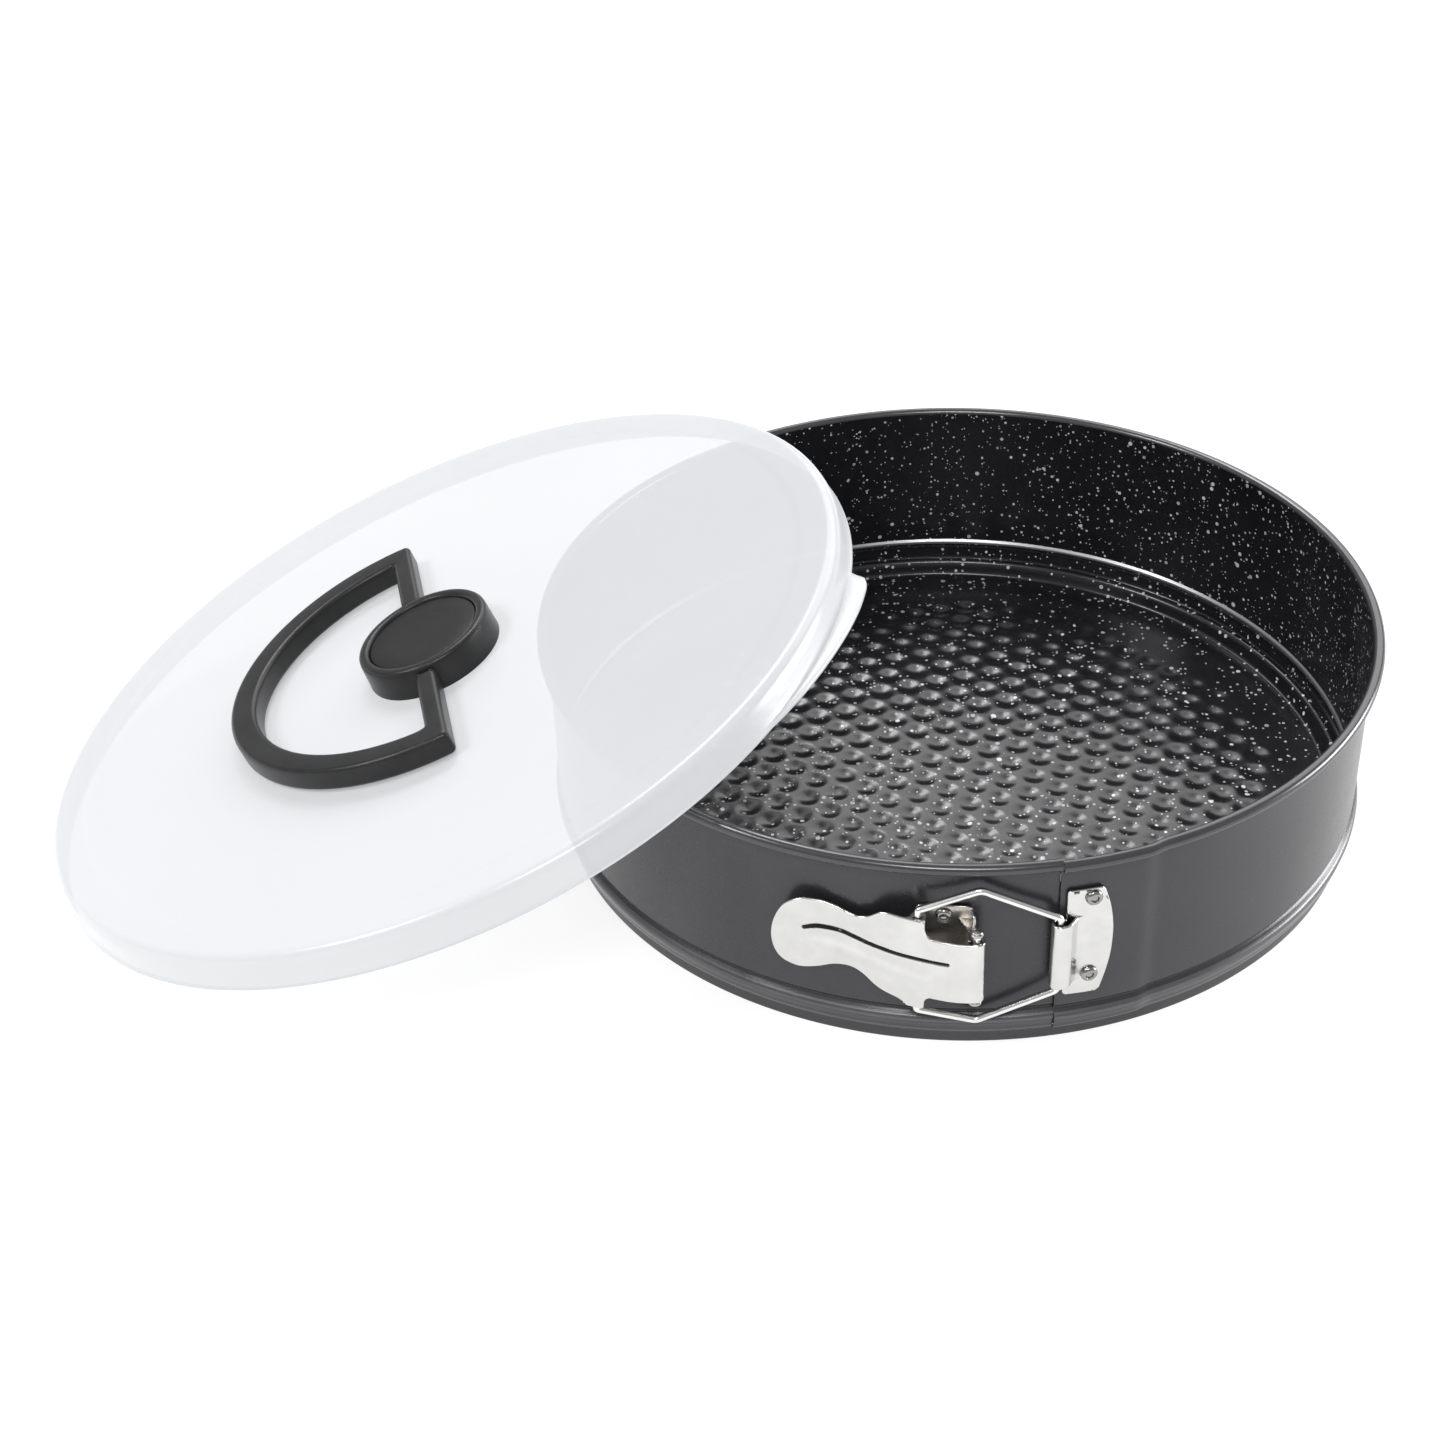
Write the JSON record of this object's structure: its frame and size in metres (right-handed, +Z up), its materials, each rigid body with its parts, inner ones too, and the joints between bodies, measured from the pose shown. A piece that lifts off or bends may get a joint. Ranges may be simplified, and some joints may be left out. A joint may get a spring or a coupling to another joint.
{
  "type": "springform pan",
  "caption": "Round springform baking pan with loose base, hooped wall and over-centre wire latch, its clip-on translucent lid with folding carrying handle leaning on the rim.",
  "frame": {"origin": "on the pan's axis, on the underside of the base, where it stands on the table", "axes": "+Z up along the pan's axis; -Y towards the latch; +X away from the leaning lid"},
  "size_m": [0.4279, 0.2772, 0.1018],
  "materials": {
    "coated_steel": "satin dark grey non-stick coating with fine stone speckle inside",
    "base_coat": "satin black stone-speckle non-stick coating over pressed dimples",
    "nickel": "nickel-plated pressed steel, soft polish",
    "spring_wire": "plated spring wire",
    "rim_wire": "plain drawn wire",
    "lid_plastic": "translucent milky, smooth",
    "black_plastic": "fine moulded matt"
  },
  "bodies": {
    "ring_left": {"band_left": "coated_steel", "rim_wire_left": "rim_wire", "latch_bracket": "nickel", "bracket_rivet_top": "nickel", "bracket_rivet_bottom": "nickel", "lever_pivot_pin": "nickel"},
    "ring_right": {"band_right": "coated_steel", "rim_wire_right": "rim_wire", "catch_plate": "nickel", "catch_rivet_top": "nickel", "catch_rivet_bottom": "nickel"},
    "base": {"base_plate": "base_coat"},
    "lever": {"latch_lever": "nickel"},
    "loop": {"wire_bail": "spring_wire"},
    "lid": {"lid_shell": "lid_plastic", "handle_hub": "black_plastic", "hub_cap": "black_plastic", "hub_washer": "black_plastic", "hub_screw": "nickel"},
    "handle": {"handle_bail": "black_plastic"}
  },
  "joints": [
    {"name": "latch_lever_swing", "type": "hinge", "parent": "ring_left", "child": "lever", "pos_m": [-0.00216, -0.13718, 0.036], "axis": [0, 0, 1], "range_deg": [0, 150]},
    {"name": "hoop_open", "type": "hinge", "parent": "ring_left", "child": "ring_right", "pos_m": [0, 0.1336, 0.034], "axis": [0, 0, 1], "range_deg": [0, 5.1]},
    {"name": "wire_loop_turn", "type": "hinge", "parent": "ring_right", "child": "loop", "pos_m": [0.02139, -0.13208, 0.036], "axis": [0, 0, 1], "range_deg": [0, 21.6]},
    {"name": "base_lift", "type": "slide", "parent": "ring_left", "child": "base", "axis": [0, 0, 1], "range_m": [0, 0.06]},
    {"name": "lid_lift", "type": "slide", "parent": "ring_left", "child": "lid", "axis": [-0.3338, 0, 0.9426], "range_m": [0, 0.2]},
    {"name": "handle_fold", "type": "hinge", "parent": "lid", "child": "handle", "pos_m": [-0.17016, -0.00641, 0.06057], "axis": [-0.2201, 0.9724, -0.0779], "range_deg": [0, 180]}
  ],
  "couplings": [
    {"joint": "hoop_open", "follows": "latch_lever_swing", "ratio": 0.03391},
    {"joint": "wire_loop_turn", "follows": "latch_lever_swing", "ratio": 0.14341}
  ]
}
